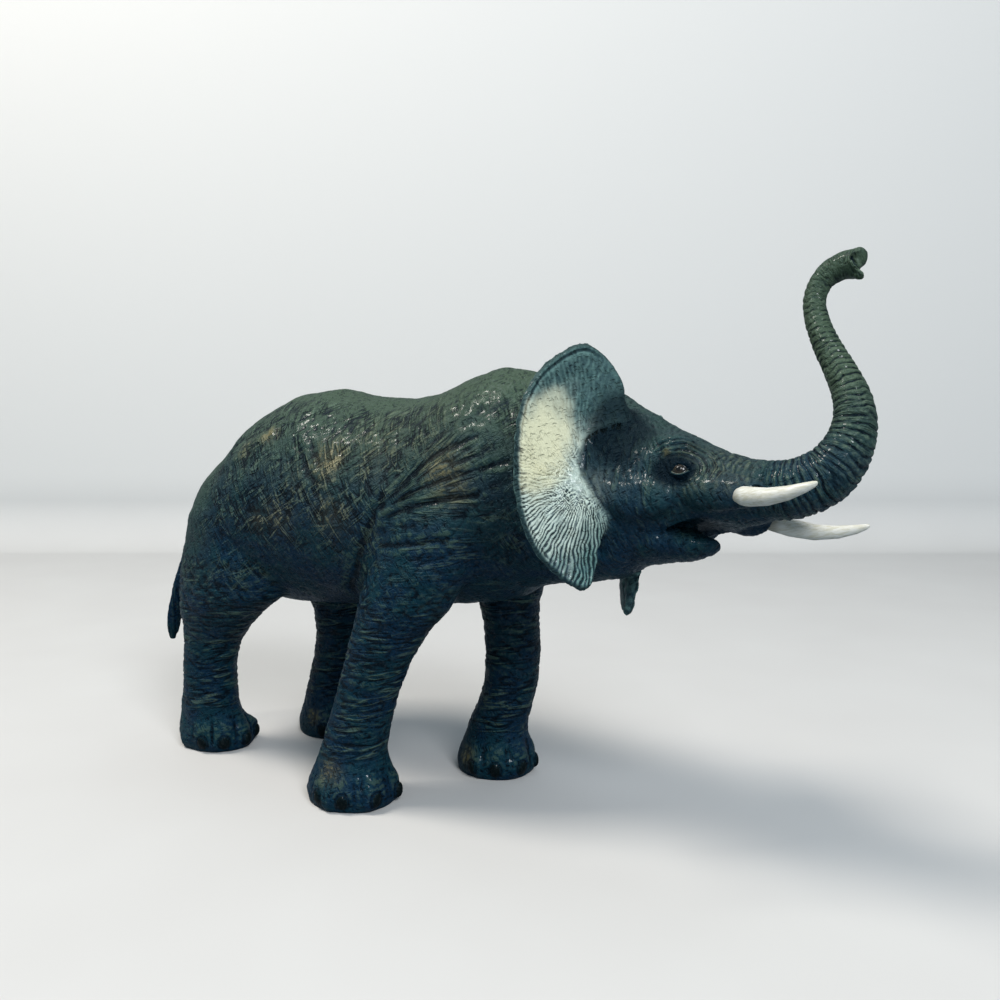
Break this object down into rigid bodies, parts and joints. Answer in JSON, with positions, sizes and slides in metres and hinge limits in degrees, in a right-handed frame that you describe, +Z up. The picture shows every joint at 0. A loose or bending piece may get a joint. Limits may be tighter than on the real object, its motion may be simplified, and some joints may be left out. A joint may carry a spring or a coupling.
{
  "type": "toy wild animal figure",
  "caption": "Toy elephant figure in a walking pose, with ringed trunk raised in an S, spread fan ears, curved tusks, open mouth and hanging tufted tail.",
  "frame": {"origin": "middle of the figure's footprint box, on the floor under its soles", "axes": "+X forward along the body, towards the trunk; +Y to the elephant's left; +Z up"},
  "size_m": [0.1858, 0.0556, 0.1207],
  "materials": {
    "skin_paint": "dark green-black paint on PVC, dry-brushed with olive and gold on the ridges, glossy varnish",
    "ear_paint": "cream-yellow airbrushed middle fading to blue-green and dark green at the rim, glossy varnish",
    "ivory_paint": "ivory white PVC, satin"
  },
  "bodies": {
    "root": {"torso": "skin_paint", "head": "skin_paint", "lower_jaw": "skin_paint", "trunk": "skin_paint", "right_ear": "ear_paint", "left_ear": "ear_paint", "right_tusk": "ivory_paint", "left_tusk": "ivory_paint", "front_right_leg": "skin_paint", "front_left_leg": "skin_paint", "rear_right_leg": "skin_paint", "rear_left_leg": "skin_paint", "tail": "skin_paint"}
  },
  "joints": []
}
